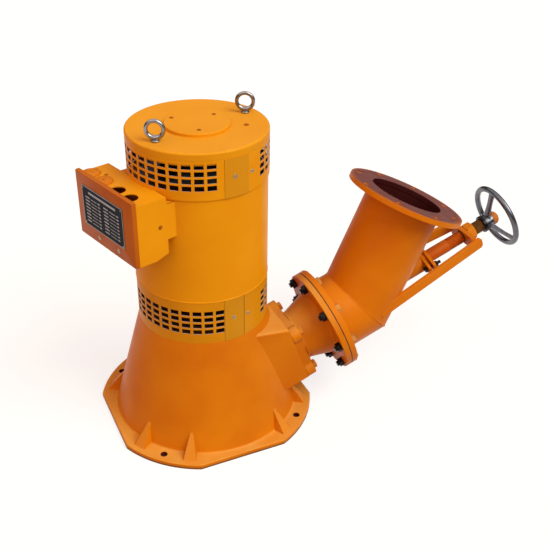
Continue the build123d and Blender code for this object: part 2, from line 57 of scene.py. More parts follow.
white = (1, 1, 1, 1)
lamps = [("key_lamp", radians(-57), radians(47), (0.96, 1.03, 0.95), 2.45, radians(45)),
         ("fill_lamp", radians(-160), radians(35), (1.0, 0.76, 0.60), 0.75, radians(60))]
wall_radius = 5.0
wall_height = 3.2
wall_steps = 48
wall_colour = (0.055, 0.040, 0.032, 1)
wall_stain = (0.10, 0.08, 0.07, 1)
camera_place = Vector((-0.6836, -1.9074, 1.6695))
camera_aim = Vector((0.298, 0.170, 0.251))
camera_roll = radians(0.93)
camera_lens = 57.29
sensor_width = 36.0


def shader_tree(name):
    """A new material with its node tree and its Principled shader."""
    material = bpy.data.materials.new(name)
    material.use_nodes = True
    tree = material.node_tree
    return material, tree, tree.nodes["Principled BSDF"]


def give(socket, value):
    """Link an input to another node's output, or set it to a plain value."""
    if isinstance(value, bpy.types.NodeSocket):
        socket.id_data.links.new(value, socket)
    else:
        socket.default_value = value


def feed(node, **inputs):
    """Values or links for a node's inputs, each named like the input, with _ for a space."""
    for key, value in inputs.items():
        give(node.inputs[key.replace("_", " ")], value)


def add(tree, kind, **settings):
    """A node of that kind. A setting named with a capital is an input, any other is a property."""
    node = tree.nodes.new(kind)
    for key, value in settings.items():
        if key[0].isupper():
            feed(node, **{key: value})
        else:
            setattr(node, key, value)
    return node


def worked_out(kind, operation, values):
    """A node that works on its values in turn, in the tree of the first one that comes from a node."""
    tree = next(value.id_data for value in values if isinstance(value, bpy.types.NodeSocket))
    node = add(tree, kind, operation=operation)
    for socket, value in zip(node.inputs, values):
        give(socket, value)
    return node


def math(operation, *values):
    return worked_out("ShaderNodeMath", operation, values).outputs[0]


def vector_math(operation, *values):
    """A sum on vectors. A length or a dot product comes out as a value."""
    node = worked_out("ShaderNodeVectorMath", operation, values)
    return node.outputs["Value" if operation in ("DOT_PRODUCT", "LENGTH") else "Vector"]


def times(first, second):
    return math("MULTIPLY", first, second)


def above(value, limit):
    return math("GREATER_THAN", value, limit)


def below(value, limit):
    return math("LESS_THAN", value, limit)


def blend(share, first, second):
    """The first colour, going over to the second as share goes from 0 to 1."""
    node = add(share.id_data, "ShaderNodeMix", data_type="RGBA")
    wanted = {"Factor_Float": share, "A_Color": first, "B_Color": second}
    for socket in node.inputs:
        if socket.identifier in wanted:
            give(socket, wanted[socket.identifier])
    return next(s for s in node.outputs if s.identifier == "Result_Color")


def surface_point(tree):
    """Where a point of the surface lies, in metres."""
    return add(tree, "ShaderNodeTexCoord").outputs["Object"]


def split(vector):
    return add(vector.id_data, "ShaderNodeSeparateXYZ", Vector=vector).outputs


def noise(where, scale, detail=2.0, **more):
    """Soft random change over the surface."""
    node = add(where.id_data, "ShaderNodeTexNoise", Vector=where, Scale=scale, Detail=detail, **more)
    return node.outputs["Fac"]


def seen_directly(tree):
    """1 for the camera and for what chrome or glass shows, 0 for the light that falls on the turbine."""
    path = add(tree, "ShaderNodeLightPath").outputs
    seen = math("MAXIMUM", path["Is Camera Ray"], path["Is Glossy Ray"])
    return math("MAXIMUM", seen, path["Is Transmission Ray"])


def put_in_scene(name, data, quaternion=None):
    made = bpy.data.objects.new(name, data)
    bpy.context.scene.collection.objects.link(made)
    if quaternion:
        made.rotation_mode = "QUATERNION"
        made.rotation_quaternion = quaternion
    return made


def new_mesh(name, part):
    """A mesh of (corners, faces)."""
    mesh = bpy.data.meshes.new(name)
    mesh.from_pydata([tuple(corner) for corner in part[0]], [], part[1])
    return mesh


def turns(count, phase=0.0):
    """That many equal steps round a circle."""
    return [phase + 2 * pi * i / count for i in range(count)]


def rectangle(x_low, x_high, y_low, y_high):
    return [(x_low, y_low), (x_high, y_low), (x_high, y_high), (x_low, y_high)]


def skin(rings, close=True):
    """A mesh through rings of points of the same count, closed at both ends."""
    count = len(rings[0])
    corners = [point for ring in rings for point in ring]
    faces = []
    for low in range(0, (len(rings) - 1) * count, count):
        for i in range(count):
            j = (i + 1) % count
            faces.append((low + i, low + j, low + count + j, low + count + i))
    if close:
        faces.append(tuple(reversed(range(count))))
        faces.append(tuple(range((len(rings) - 1) * count, len(rings) * count)))
    return corners, faces


def build_floor():
    """White floor with a painted shadow under the foot: a dark patch, which shows through the foundation
    holes.
    """
    corners = [(x, y, floor_level) for x, y in rectangle(-floor_half, floor_half, -floor_half, floor_half)]
    mesh = new_mesh("floor", (corners, [(0, 1, 2, 3)]))
    material, tree, shader = shader_tree("pale_floor")
    seen = seen_directly(tree)
    where = surface_point(tree)
    parts = split(where)
    away = math("MAXIMUM", math("ABSOLUTE", parts["X"]), math("ABSOLUTE", parts["Y"]))
    # Painted shadow: dark under the foot, with no glow there.
    foot_shadow = times(below(away, foot_half), math("ADD", noise(where, 40.0), 0.4))
    foot_shadow = math("MINIMUM", foot_shadow, 1.0)
    pale = blend(seen, floor_bounce, floor_seen)
    glow = times(seen, math("SUBTRACT", 1.0, foot_shadow))
    feed(shader, Base_Color=blend(foot_shadow, pale, floor_shadow_dark), Roughness=0.9, Specular_IOR_Level=0.0,
         Emission_Color=white, Emission_Strength=times(glow, floor_glow))
    mesh.materials.append(material)
    return put_in_scene("floor", mesh)


def build_walls():
    ring = [(wall_radius * cos(turn), wall_radius * sin(turn)) for turn in turns(wall_steps)]
    rings = [[(x, y, z) for x, y in ring] for z in (0.0, wall_height)]
    mesh = new_mesh("studio_walls", skin(rings, close=False))
    material, tree, shader = shader_tree("dark_wall")
    shade = add(tree, "ShaderNodeTexNoise", Scale=0.6)
    feed(shader, Base_Color=blend(shade.outputs["Fac"], wall_colour, wall_stain), Roughness=1.0)
    mesh.materials.append(material)
    walls = put_in_scene("studio_walls", mesh)
    for light in ("camera", "diffuse", "transmission", "shadow"):
        setattr(walls, "visible_" + light, False)
    return walls


build_floor()
build_walls()

world = bpy.data.worlds.new("studio")
bpy.context.scene.world = world
world.use_nodes = True
feed(world.node_tree.nodes["Background"], Color=blend(seen_directly(world.node_tree), room_light, white))

for name, turn, height, colour, strength, softness in lamps:
    toward_lamp = Vector((cos(turn) * cos(height), sin(turn) * cos(height), sin(height)))
    lamp = put_in_scene(name, bpy.data.lights.new(name, "SUN"), toward_lamp.to_track_quat("Z", "Y"))
    lamp.data.color = colour
    lamp.data.energy = strength
    lamp.data.angle = softness

camera_turn = (camera_aim - camera_place).to_track_quat("-Z", "Y") @ Quaternion((0, 0, 1), camera_roll)
camera = put_in_scene("camera", bpy.data.cameras.new("camera"), camera_turn)
camera.data.lens = camera_lens
camera.data.sensor_width = sensor_width
camera.location = camera_place
bpy.context.scene.camera = camera
bpy.context.scene.view_settings.view_transform = "Standard"

# Base casting: one iron casting of square foot, cone hood, eight ribs and nozzle duct, sand cast, ground at
# the parting lines and sprayed deep orange. Red primer shows in its four foundation holes, and its lowest
# few millimetres are darkened brown as painted shade where it meets the floor.
casting_orange = (0.665, 0.200, 0.0030, 1)
casting_shade = (0.590, 0.150, 0.0025, 1)
hole_radius = 9.6 * mm
hole_spread = 280.5 * mm
foot_shade_low = 3 * mm
foot_shade_high = 7 * mm
primer_red = (0.105, 0.016, 0.008, 1)
foot_shade_brown = (0.110, 0.048, 0.014, 1)
dust_and_sheen_colour = (0.80, 0.48, 0.11, 1)
rubbed_through = (0.50, 0.20, 0.05, 1)


def shade_group(name, inputs, outputs):
    """An empty node group with those named inputs, each with its value, and outputs."""
    group = bpy.data.node_groups.new(name, "ShaderNodeTree")
    for label, value in inputs.items():
        kind = "Float" if isinstance(value, float) else "Color" if len(value) == 4 else "Vector"
        socket = group.interface.new_socket(label, in_out="INPUT", socket_type="NodeSocket" + kind)
        socket.default_value = value
    for label, kind in outputs.items():
        group.interface.new_socket(label, in_out="OUTPUT", socket_type="NodeSocket" + kind)
    return group, group.nodes.new("NodeGroupInput").outputs, group.nodes.new("NodeGroupOutput").inputs


def place_group(tree, group, **values):
    """That group in a material, with the material's own values."""
    node = add(tree, "ShaderNodeGroup", node_tree=group)
    feed(node, **values)
    return node.outputs


def ramp(value, low=0.0, high=1.0, to_low=0.0, to_high=1.0):
    """The value from low to high, spread from to_low to to_high and held there."""
    node = add(value.id_data, "ShaderNodeMapRange", Value=value, From_Min=low, From_Max=high)
    feed(node, To_Min=to_low, To_Max=to_high)
    return node.outputs[0]


def bump(height, strength, distance, **more):
    node = add(height.id_data, "ShaderNodeBump", Height=height, Strength=strength, Distance=distance, **more)
    return node.outputs[0]


def make_sprayed_paint():
    """Sprayed paint: soft changes of tone, thin runs downward and the fine dimples of a spray gun."""
    group, given, out = shade_group(
        "sprayed_paint",
        {"Colour": (0.8, 0.3, 0.0, 1), "Shade": (0.7, 0.2, 0.0, 1),
         "Cloud": 7.0, "Dimple": 420.0, "Coarse": 0.0},
        {"Colour": "Color", "Roughness": "Float", "Height": "Float"})
    where = surface_point(group)
    cloud = noise(where, given["Cloud"], 4.0)
    runs = noise(add(group, "ShaderNodeMapping", Vector=where, Scale=(46.0, 46.0, 3.0)).outputs[0], 1.0)
    share = math("MAXIMUM", ramp(cloud, 0.35, 0.72), ramp(runs, 0.55, 0.8, to_high=0.35))
    give(out["Colour"], blend(share, given["Colour"], given["Shade"]))
    give(out["Roughness"], ramp(cloud, 0.3, 0.7, 0.34, 0.5))
    dimples = times(noise(where, given["Dimple"], 1.0), 0.25)
    give(out["Height"], math("ADD", dimples, times(noise(where, 95.0, 5.0), given["Coarse"])))
    return group


def make_worn_edge():
    """Edges of a piece: where handling has rubbed the rounded corners, and their rounded normal."""
    group, given, out = shade_group(
        "worn_edge", {"Width": 1.2 * mm, "Breaks": 60.0}, {"Rubbed": "Float", "Normal": "Vector"})
    rounded = add(group, "ShaderNodeBevel", samples=6, Radius=given["Width"]).outputs[0]
    normal = add(group, "ShaderNodeNewGeometry").outputs["Normal"]
    edge = ramp(vector_math("DOT_PRODUCT", rounded, normal), 0.995, 0.86)
    chips = noise(surface_point(group), given["Breaks"], 6.0, Roughness=0.7)
    give(out["Rubbed"], times(edge, ramp(chips, 0.52, 0.68)))
    give(out["Normal"], rounded)
    return group


def make_dust_and_sheen():
    """Pale shop dust on what faces up, thicker in some places than in others, and with it a painted sky
    reflection on the upward faces.
    """
    group, given, out = shade_group("dust_and_sheen", {"Amount": 0.2, "Patch": 14.0}, {"Mask": "Float"})
    up = split(add(group, "ShaderNodeNewGeometry").outputs["Normal"])["Z"]
    thick = ramp(noise(surface_point(group), given["Patch"], 7.0), 0.3, 0.7, 0.45)
    give(out["Mask"], times(times(ramp(up, 0.35, 0.98), thick), given["Amount"]))
    return group


sprayed_paint = make_sprayed_paint()
worn_edge = make_worn_edge()
dust_and_sheen = make_dust_and_sheen()


def painted(name, colour, shade, coarse=0.0, rub_colour=rubbed_through, dust_sheen_amount=0.05, width=1.2 * mm,
            dimples=0.12):
    """Painted metal, returned with its tree, its shader and the paint's colour so far."""
    material, tree, shader = shader_tree(name)
    film = place_group(tree, sprayed_paint, Colour=colour, Shade=shade, Coarse=coarse)
    edge = place_group(tree, worn_edge, Width=width)
    dust_sheen_mask = place_group(tree, dust_and_sheen, Amount=dust_sheen_amount)
    tone = blend(times(edge["Rubbed"], 0.4), film["Colour"], rub_colour)
    # Dust on upward faces; the same pale mark is also a painted sky reflection on them.
    tone = blend(dust_sheen_mask["Mask"], tone, dust_and_sheen_colour)
    feed(shader, Base_Color=tone, Roughness=film["Roughness"], Specular_IOR_Level=0.10,
         Normal=bump(film["Height"], dimples, 0.6 * mm, Normal=edge["Normal"]))
    return material, tree, shader, tone


def foundation_hole_mask(parts):
    """1 on the walls of the four foundation holes, which lie on the diagonals of the foot."""
    spread = hole_spread / sqrt(2)
    across, along = (math("SUBTRACT", math("ABSOLUTE", parts[axis]), spread) for axis in "XY")
    distance = math("SQRT", math("ADD", times(across, across), times(along, along)))
    return below(distance, hole_radius)


def casting_finish():
    material, tree, shader, tone = painted("casting_paint", casting_orange, casting_shade, coarse=1.0,
                                           dust_sheen_amount=0.5, width=2.5 * mm, dimples=0.3)
    parts = split(surface_point(tree))
    # Painted shade: brown over the lowest few millimetres, where the casting meets the floor.
    tone = blend(times(ramp(parts["Z"], foot_shade_high, foot_shade_low), 0.85), tone, foot_shade_brown)
    feed(shader, Base_Color=blend(foundation_hole_mask(parts), tone, primer_red))
    return material


def finish_node(node, material):
    """The CAD piece keeps its place and shape and takes its finish."""
    mesh = nodes[node].data
    mesh.materials.clear()
    mesh.materials.append(material)


casting_paint = casting_finish()
finish_node("base_casting", casting_paint)
# Painted shade: the bracket inside the hood is coloured near black.
inner_shade_paint = painted("inner_shade_paint", (0.045, 0.010, 0.005, 1), (0.030, 0.006, 0.004, 1))[0]
finish_node("lower_bracket", inner_shade_paint)

# Runner, its nut, the shaft and the jet nozzle: seen only from below or down the pipe. The runner is cast
# bronze with ground cups, the nozzle and the needle are turned stainless steel.
bronze = (0.42, 0.24, 0.10, 1)
bronze_dark = (0.20, 0.11, 0.05, 1)
oiled_black = (0.05, 0.045, 0.042, 1)
oiled_dark = (0.02, 0.018, 0.016, 1)
turned_steel = (0.46, 0.44, 0.41, 1)
turned_dark = (0.30, 0.27, 0.24, 1)


def metal_finish(name, colour, dark, rough, lines, metallic=1.0):
    """Bare metal with fine tool marks and soft dark patches."""
    material, tree, shader = shader_tree(name)
    where = surface_point(tree)
    marks = noise(where, lines, 3.0)
    dark_patch = ramp(noise(where, 38.0, 6.0), 0.42, 0.75)
    edge = place_group(tree, worn_edge, Width=0.8 * mm)
    feed(shader, Base_Color=blend(dark_patch, colour, dark), Metallic=metallic,
         Roughness=ramp(marks, to_low=rough * 0.75, to_high=rough * 1.25),
         Normal=bump(marks, 0.15, 0.3 * mm, Normal=edge["Normal"]))
    return material


finish_node("runner", metal_finish("cast_bronze", bronze, bronze_dark, 0.38, 160.0))
finish_node("runner_nut", metal_finish("black_steel", oiled_black, oiled_dark, 0.4, 200.0))
bright_steel = metal_finish("turned_steel", turned_steel, turned_dark, 0.26, 300.0)
for node in ("nozzle_tip", "spear", "shaft"):
    finish_node(node, bright_steel)

# Generator inside, seen through the vent holes: a core of stacked steel sheets, copper windings under brown
# varnish, the rotor and the fan, all in the dark behind the bands. The core, rotor and windings are coloured
# near black as painted shade.
# Painted shade: windings and core sheets coloured near black.
shaded_varnish_brown = (0.050, 0.011, 0.006, 1)
shaded_core_grey = (0.030, 0.028, 0.027, 1)


def stacked_finish(name, colour, pitch, rough):
    """Fine level lines, as of stacked sheets or laid wire."""
    material, tree, shader = shader_tree(name)
    where = surface_point(tree)
    wave = math("SINE", times(split(where)["Z"], 2 * pi / pitch))
    darker = tuple(part * 0.4 for part in colour[:3]) + (1,)
    feed(shader, Base_Color=blend(noise(where, 30.0, 5.0), colour, darker), Roughness=rough,
         Normal=bump(wave, 0.5, 0.4 * mm))
    return material


finish_node("stator_core", stacked_finish("core_sheets", shaded_core_grey, 1.0 * mm, 0.6))
finish_node("rotor", stacked_finish("rotor_sheets", shaded_core_grey, 1.0 * mm, 0.5))
finish_node("stator_windings", stacked_finish("varnished_windings", shaded_varnish_brown, 2.2 * mm, 0.35))
finish_node("cooling_fan", painted("fan_paint", (0.05, 0.045, 0.04, 1), (0.03, 0.03, 0.03, 1))[0])

# Generator frame: a rolled and welded steel shell, filled and sprayed bright yellow-orange in a satin
# finish. The vent bands close its two ends.
generator_orange = (0.840, 0.345, 0.0035, 1)
generator_shade = (0.780, 0.295, 0.0032, 1)
generator_paint = painted("generator_paint", generator_orange, generator_shade)[0]
finish_node("stator_frame", generator_paint)

# Vent bands: thin sheet punched with rows of slots, bent round the generator above and below the frame,
# lapped and screwed. The punched edges are nearly bare, the inside is near black as painted shade, and the
# lap is a shade greener. The lower band's tones are darker, as painted shade, and a painted shadow line runs
# down its lap's edge. A paint bead runs round the frame's lower edge.
lap_olive = (0.560, 0.260, 0.012, 1)
cut_edge_colour = (0.40, 0.34, 0.36, 1)
# Painted shade: the band's inner face is near black.
band_inside_shade = (0.020, 0.014, 0.012, 1)
lap_spans = {"upper_vent_band": (-90.4, -68.6), "lower_vent_band": (-92.1, -73.5)}
# Painted shadow: a thin dark line down the lower band at the lap's right edge.
lap_shadow_angle = radians(-73.2)
lap_shadow_half = radians(0.45)
lap_shadow_brown = (0.060, 0.013, 0.002, 1)
# The lower band's tones are darker than the upper's, as painted shade.
band_tones = {"upper_vent_band": (generator_orange, generator_shade),
              "lower_vent_band": ((0.720, 0.300, 0.0040, 1), (0.620, 0.245, 0.0040, 1))}
band_border = 2 * mm
body_low, body_high = (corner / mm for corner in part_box("stator_frame"))
body_radius = body_high.x
sharp_angle = radians(32)
screw_radius = 3.6
upper_screws = [(-81.4, 787, 1.2), (-64.4, 785, 0.0)]
lower_screws = [(-83.9, 388, 1.2), (-68.2, 382, 0.0)]


def band_finish(node):
    """Paint outside, painted shade inside, bare on the punched edges, another tone on the lap, and on the
    lower band a painted shadow line at the lap's edge.
    """
    low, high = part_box(node)
    start, end = (radians(a) for a in lap_spans[node])
    material, tree, shader, tone = painted(node + "_paint", *band_tones[node], width=0.5 * mm)
    parts = split(surface_point(tree))
    flat = add(tree, "ShaderNodeCombineXYZ", X=parts["X"], Y=parts["Y"]).outputs[0]
    normal = add(tree, "ShaderNodeNewGeometry").outputs["Normal"]
    facing = vector_math("DOT_PRODUCT", vector_math("NORMALIZE", flat), normal)
    angle = math("ARCTAN2", parts["Y"], parts["X"])
    on_lap = times(above(angle, start), below(angle, end))
    tone = blend(times(on_lap, 0.55), tone, lap_olive)
    if node == "lower_vent_band":
        # Painted shadow line at the lower lap's edge.
        lap_shadow = below(math("ABSOLUTE", math("SUBTRACT", angle, lap_shadow_angle)), lap_shadow_half)
        tone = blend(times(lap_shadow, 0.85), tone, lap_shadow_brown)
    within = times(above(parts["Z"], low.z + band_border), below(parts["Z"], high.z - band_border))
    within = times(within, below(vector_math("LENGTH", flat), high.x + 0.1 * mm))
    cut = times(below(math("ABSOLUTE", facing), 0.6), within)
    tone = blend(times(cut, 0.75), tone, cut_edge_colour)
    # Painted shade on the band's inner face.
    feed(shader, Base_Color=blend(below(facing, -0.6), tone, band_inside_shade))
    return material


for band in lap_spans:
    finish_node(band, band_finish(band))


def join_parts(parts):
    """Several (corners, faces) as one."""
    corners, faces = [], []
    for more_corners, more_faces in parts:
        start = len(corners)
        corners.extend(more_corners)
        faces.extend(tuple(start + i for i in face) for face in more_faces)
    return corners, faces


def moved(part, place):
    """The (corners, faces) moved by a matrix."""
    return [place @ Vector(corner) for corner in part[0]], part[1]


def make_piece(name, part, material, body="turbine", node=None):
    """A piece in metres, smooth but for its sharp edges, riding on its body, perhaps in place of a node."""
    mesh = new_mesh(name, moved(part, Matrix.Scale(mm, 4)))
    mesh.validate()
    mesh.update()
    mesh.shade_smooth()
    mesh.set_sharp_from_angle(angle=sharp_angle)
    mesh.materials.append(material)
    made = put_in_scene(name, mesh)
    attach(made, body)
    if node:
        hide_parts(node)


def round_hole(radius, x=0.0, y=0.0, count=48):
    return [(x + radius * cos(turn), y + radius * sin(turn)) for turn in turns(count)]


def circle(radius, height, count=32):
    return [(x, y, height) for x, y in round_hole(radius, count=count)]


def turned(profile, count=32, close=True, then=()):
    """A turned part through circles of (radius, height), and then through other rings of points."""
    return skin([circle(radius, height, count) for radius, height in profile] + list(then), close)


def cross(size, height, count=32):
    """Ring of points round a cross, for the driver slot of a screw."""
    ring = []
    for turn in turns(count):
        reach = max(abs(cos(turn)), abs(sin(turn)))
        side = min(abs(cos(turn)), abs(sin(turn)))
        arm = size if side / reach < 0.28 else size * 0.38
        ring.append((arm * cos(turn), arm * sin(turn), height))
    return ring


def pan_screw(radius):
    """Pan head screw with a cross slot on a thin washer, standing on z = 0."""
    rise = 0.62
    shares = [(1.55, 0.16), (1.02, 0.17), (1, 0.45), (0.86, rise * 0.88), (0.6, rise)]
    profile = [(radius * 1.55, -0.3)] + [(radius * out, radius * up) for out, up in shares]
    slot = [cross(radius * 0.52, radius * rise), cross(radius * 0.45, radius * rise * 0.35)]
    return turned(profile, then=slot)


def at(x, y, z=0.0, spin=0.0):
    return Matrix.Translation((x, y, z)) @ Matrix.Rotation(spin, 4, "Z")


def facing_out(point, outward, spin=0.0):
    """Matrix that sets a piece at a point with its Z axis outward."""
    tilt = Vector(outward).to_track_quat("Z", "Y").to_matrix().to_4x4()
    return Matrix.Translation(point) @ tilt @ Matrix.Rotation(spin, 4, "Z")


def band_screw(radius, degrees_round, height, lift):
    """Screw on a band or cap of that radius, by its angle and its height."""
    turn = radians(degrees_round)
    outward = Vector((cos(turn), sin(turn), 0))
    point = outward * (radius + lift) + Vector((0, 0, height))
    return moved(pan_screw(screw_radius), facing_out(point, outward, radians(degrees_round * 3)))


leans = [radians(-90 + step * 22.5) for step in range(9)]
bead = [(body_radius - 0.6 + 1.8 * cos(lean), body_low.z + 1.6 * sin(lean)) for lean in leans]
make_piece("frame_bead", turned(bead, 128, close=False), generator_paint)
screw_steel = metal_finish("screw_steel", (0.50, 0.42, 0.30, 1), (0.30, 0.20, 0.10, 1), 0.3, 400.0)
screw_paint = painted("screw_paint", (0.42, 0.125, 0.004, 1), (0.30, 0.075, 0.003, 1), width=0.5 * mm)[0]
cap_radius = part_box("top_cap")[1].x / mm
band_parts = [band_screw(cap_radius, *screw) for screw in upper_screws]
band_parts += [band_screw(body_radius, *screw) for screw in lower_screws]
make_piece("band_screws", join_parts(band_parts), screw_steel)

# Top cap and bearing cover: a spun steel cap with a rounded rim and a flat round cover held by three
# screws, in the same paint as the frame, with more dust and painted sky sheen. One more screw stands beside
# the cover.
cap_orange = (0.80, 0.335, 0.0060, 1)
cap_shade = (0.74, 0.29, 0.0050, 1)
cap_paint = painted("cap_paint", cap_orange, cap_shade, dust_sheen_amount=0.12, width=1.5 * mm)[0]
finish_node("top_cap", cap_paint)
finish_node("bearing_cover", cap_paint)
cap_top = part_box("top_cap")[1].z / mm
cover_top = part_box("bearing_cover")[1].z / mm
cover_screws = [(-50, 46), (55, 27), (-15, -54)]
screw_parts = [moved(pan_screw(screw_radius), at(x, y, cover_top, x * 0.09)) for x, y in cover_screws]
screw_parts.append(moved(pan_screw(screw_radius * 1.2), at(110, -50, cap_top)))
make_piece("cap_screws", join_parts(screw_parts), screw_paint)

# Lifting eyes: forged steel eyebolts, ground and chrome plated, screwed into the cap on their collars. The
# handwheel has the same plating, duller, its colour darkened as a painted dark reflection; brown patches on
# both are painted reflections.
# Painted dark reflection: the handwheel's plating colour is darkened.
painted_dark_chrome = (0.145, 0.150, 0.172, 1)
eye_spread = 21
eye_wire = 4.9
eye_swell = 1.5
eye_radius = 142
eye_face = radians(62)
lifting_eyes = [("lifting_eye_right", "eyebolt_right", radians(11)),
                ("lifting_eye_left", "eyebolt_left", radians(206))]


def chrome_finish(name, colour, dark_patch):
    """Plated and a little dull, with brown patches that are painted dark reflections, and fine scratches."""
    material, tree, shader = shader_tree(name)
    where = surface_point(tree)
    reflection_patches = noise(where, 55.0, 6.0)
    # Painted reflection: brown patches stand for the dark surroundings the plating reflects.
    feed(shader, Base_Color=blend(ramp(reflection_patches, 0.45, 0.8, to_high=0.5), colour, dark_patch), Metallic=1.0,
         Roughness=ramp(reflection_patches, to_low=0.24, to_high=0.38), Normal=bump(noise(where, 900.0), 0.06, 0.2 * mm))
    return material


def hoop(rings):
    """A mesh through rings of points, the last joined to the first."""
    corners, faces = skin(rings, close=False)
    count = len(rings[0])
    last = (len(rings) - 1) * count
    return corners, faces + [(last + k, last + (k + 1) % count, (k + 1) % count, k) for k in range(count)]


def eye_ring(low):
    """Forged eye: a ring whose wire swells into its neck, on a round collar."""
    middle = low + 7 + eye_spread + 2.4
    rings = []
    for turn in turns(72):
        thick = eye_wire + eye_swell * max(0.0, -sin(turn)) ** 4
        out = Vector((0, cos(turn), sin(turn)))
        rings.append([out * (eye_spread + thick * cos(lean)) + Vector((thick * sin(lean), 0, middle))
                      for lean in turns(16)])
    collar = [(9.5, -0.3), (10.5, 0.7), (10.5, 3.6), (9.2, 4.8), (6.2, 6), (5.6, 9)]
    return join_parts([hoop(rings), turned([(radius, low + rise) for radius, rise in collar])])


wheel_chrome = chrome_finish("wheel_chrome", painted_dark_chrome, (0.10, 0.075, 0.062, 1))
eye_chrome = chrome_finish("eye_chrome", (0.36, 0.34, 0.35, 1), (0.13, 0.085, 0.07, 1))
for name, node, turn in lifting_eyes:
    foot = at(eye_radius * cos(turn), eye_radius * sin(turn), 0, eye_face)
    make_piece(name, moved(eye_ring(cap_top), foot), eye_chrome, node=node)

# Terminal box: folded sheet steel welded to the frame by a neck, with a loose front cover. Two of its four
# cable holes are shut by plugs. Paint as the frame's, but darker and browner on the cover as painted shade,
# and a dark plate half hides the cover.
box_azimuth = radians(196.3)
box_offset = -24.4
in_box = Matrix.Rotation(box_azimuth, 4, "Z") @ Matrix.Translation((0, box_offset, 0))
# Painted shade: the cover's paint is darker and browner than the box's.
shaded_cover_orange = (0.520, 0.130, 0.0060, 1)
shaded_cover_dark = (0.430, 0.095, 0.0060, 1)
box_paint = painted("box_paint", generator_orange, generator_shade, width=1.0 * mm)[0]
shaded_cover_paint = painted("shaded_cover_paint", shaded_cover_orange, shaded_cover_dark, width=1.0 * mm)[0]
plug_paint = painted("plug_paint", casting_orange, casting_shade, width=1.5 * mm)[0]
box_face = 265
box_half = 124.5
box_sheet = 3
box_top = 748
box_bottom = 587
box_back = 170
neck_top = 729
neck_bottom = 636
neck_root = 112
neck_side = -104.5
lid_back = 253
lid_top = 760
gland_radius = 20
gland_row = 235.5
gland_places = [-99, -41, 20, 73]


def drawn_in(ring, inset):
    """The outline moved inward by a distance, to its left side."""
    moved_ring = []
    for i, (x, y) in enumerate(ring):
        here = Vector((x, y))
        first = (here - Vector(ring[i - 1])).normalized()
        second = (Vector(ring[(i + 1) % len(ring)]) - here).normalized()
        out = Vector((first.y + second.y, -first.x - second.x)).normalized()
        share = max(0.5, out.dot(Vector((first.y, -first.x))))
        moved_ring.append((x - out.x * inset / share, y - out.y * inset / share))
    return moved_ring


def plate(outlines, low, high, broken=0.0):
    """Plate from low to high, cut to its first outline and drilled to the others, with broken edges."""
    corners, faces, levels = [], [], []
    steps = [(low, broken), (low + broken, 0.0), (high - broken, 0.0), (high, broken)]
    for height, inset in steps if broken else [(low, 0.0), (high, 0.0)]:
        level = []
        for which, ring in enumerate(outlines):
            shape = drawn_in(ring, inset if which == 0 else -inset) if inset else ring
            level.append([len(corners) + i for i in range(len(ring))])
            corners.extend((x, y, height) for x, y in shape)
        levels.append(level)
    for below_it, above_it in zip(levels, levels[1:]):
        for which, (first, second) in enumerate(zip(below_it, above_it)):
            for i in range(len(first)):
                j = (i + 1) % len(first)
                face = (first[i], first[j], second[j], second[i])
                faces.append(face if which == 0 else tuple(reversed(face)))
    for level, flip in ((levels[0], True), (levels[-1], False)):
        flat = [i for ring in level for i in ring]
        loops = [[Vector((corners[i][0], corners[i][1], 0)) for i in ring] for ring in level]
        for a, b, c in tessellate_polygon(loops):
            one, two, three = (Vector(corners[flat[k]]) for k in (a, b, c))
            up = (two - one).cross(three - one).z > 0
            faces.append((flat[a], flat[b], flat[c]) if up != flip else (flat[a], flat[c], flat[b]))
    return corners, faces


def upright(part):
    """A plate drawn in (x, z) and set with its thickness along y."""
    return [(x, -z, y) for x, y, z in part[0]], part[1]


def folded_box():
    """Two side plates, one sheet bent round the bottom and the back, the drilled top and the neck."""
    inner_half = box_half - box_sheet
    inner_back = box_back + box_sheet
    slope = [(box_back, box_bottom + 11), (box_back + 35, box_bottom), (lid_back, box_bottom)]
    side = slope + [(lid_back, box_top), (box_back, box_top)]
    tongue = [(box_back, neck_top), (neck_root, neck_top), (neck_root, neck_bottom), (box_back, neck_bottom)]
    near = moved(upright(plate([side + tongue], 0, box_sheet)), at(0, box_half))
    far = moved(upright(plate([side], 0, box_sheet)), at(0, -inner_half))
    within = [(lid_back, box_bottom + box_sheet), (box_back + 36, box_bottom + box_sheet),
              (inner_back, box_bottom + 13.5), (inner_back, box_top)]
    bent = plate([[(box_back, box_top)] + slope + within], -inner_half, inner_half)
    glands = [round_hole(gland_radius, gland_row, y, 40) for y in gland_places]
    lid = rectangle(inner_back, lid_back, -inner_half, inner_half)
    top = plate([lid] + glands, box_top - box_sheet, box_top)
    neck = rectangle(neck_side, box_half - 1, neck_bottom, neck_top)
    neck_rings = [[(x, y, z) for y, z in neck] for x in (neck_root, box_back + 1)]
    return join_parts([near, far, upright(bent), top, skin(neck_rings)])


def lid_ring(x, inset, radius):
    """Ring round the lid with round corners."""
    ring = []
    for quarter, (y, z) in enumerate(((1, lid_top), (-1, lid_top), (-1, box_bottom), (1, box_bottom))):
        middle_y = y * (box_half - inset - radius)
        middle_z = z - (inset + radius) * (1 if z == lid_top else -1)
        for step in range(5):
            turn = radians(quarter * 90 + step * 22.5)
            ring.append((x, middle_y + radius * cos(turn), middle_z + radius * sin(turn)))
    return ring


def cable_plug(y):
    """Round cap with a turned-down rim and a small recess for a key."""
    steps = [(0, -2), (0, 0.2), (3.5, 0.2), (4, 1.4), (2.4, 4.2), (-1, 5.6), (-11, 6)]
    cap = turned([(gland_radius + out, rise) for out, rise in steps], then=[cross(5, 6), cross(4, 3)])
    return moved(cap, at(gland_row, y, box_top, y * 0.009))


